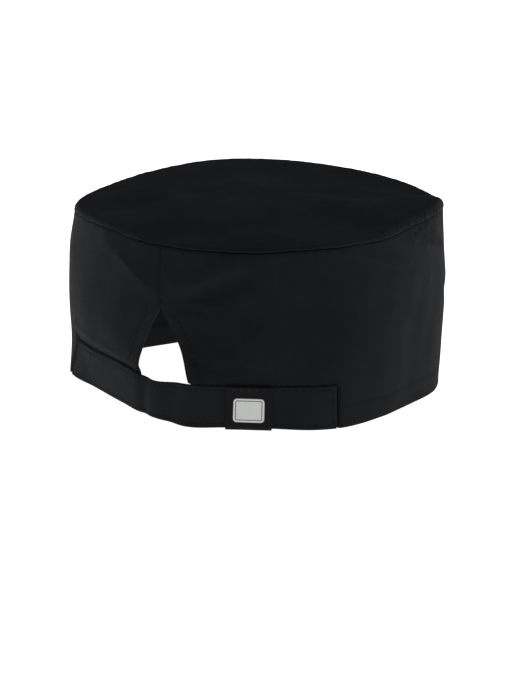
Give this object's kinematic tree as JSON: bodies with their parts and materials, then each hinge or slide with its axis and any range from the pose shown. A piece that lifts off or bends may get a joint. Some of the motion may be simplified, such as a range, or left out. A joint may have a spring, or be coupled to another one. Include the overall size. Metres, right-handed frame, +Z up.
{
  "type": "chef skull cap",
  "caption": "Round black cloth skull cap with a deep side band, a nearly flat crown, and a back notch bridged by a fastening strap.",
  "frame": {"origin": "middle of the bounding box's underside, on the surface that the rim rests on", "axes": "+Y towards the back of the head, where the notch is, -X towards the wearer's right, +Z up"},
  "size_m": [0.184, 0.1924, 0.0987],
  "materials": {
    "cap_cloth": "matt black twill",
    "crown_cloth": "matt black twill",
    "strap_cloth": "matt black twill, doubled",
    "touch_tape": "black looped nylon",
    "woven_label": "fine woven satin, plain"
  },
  "bodies": {
    "root": {"side_band": "cap_cloth", "crown": "crown_cloth", "strap": "strap_cloth", "fastening_tape": "touch_tape", "label": "woven_label"}
  },
  "joints": []
}
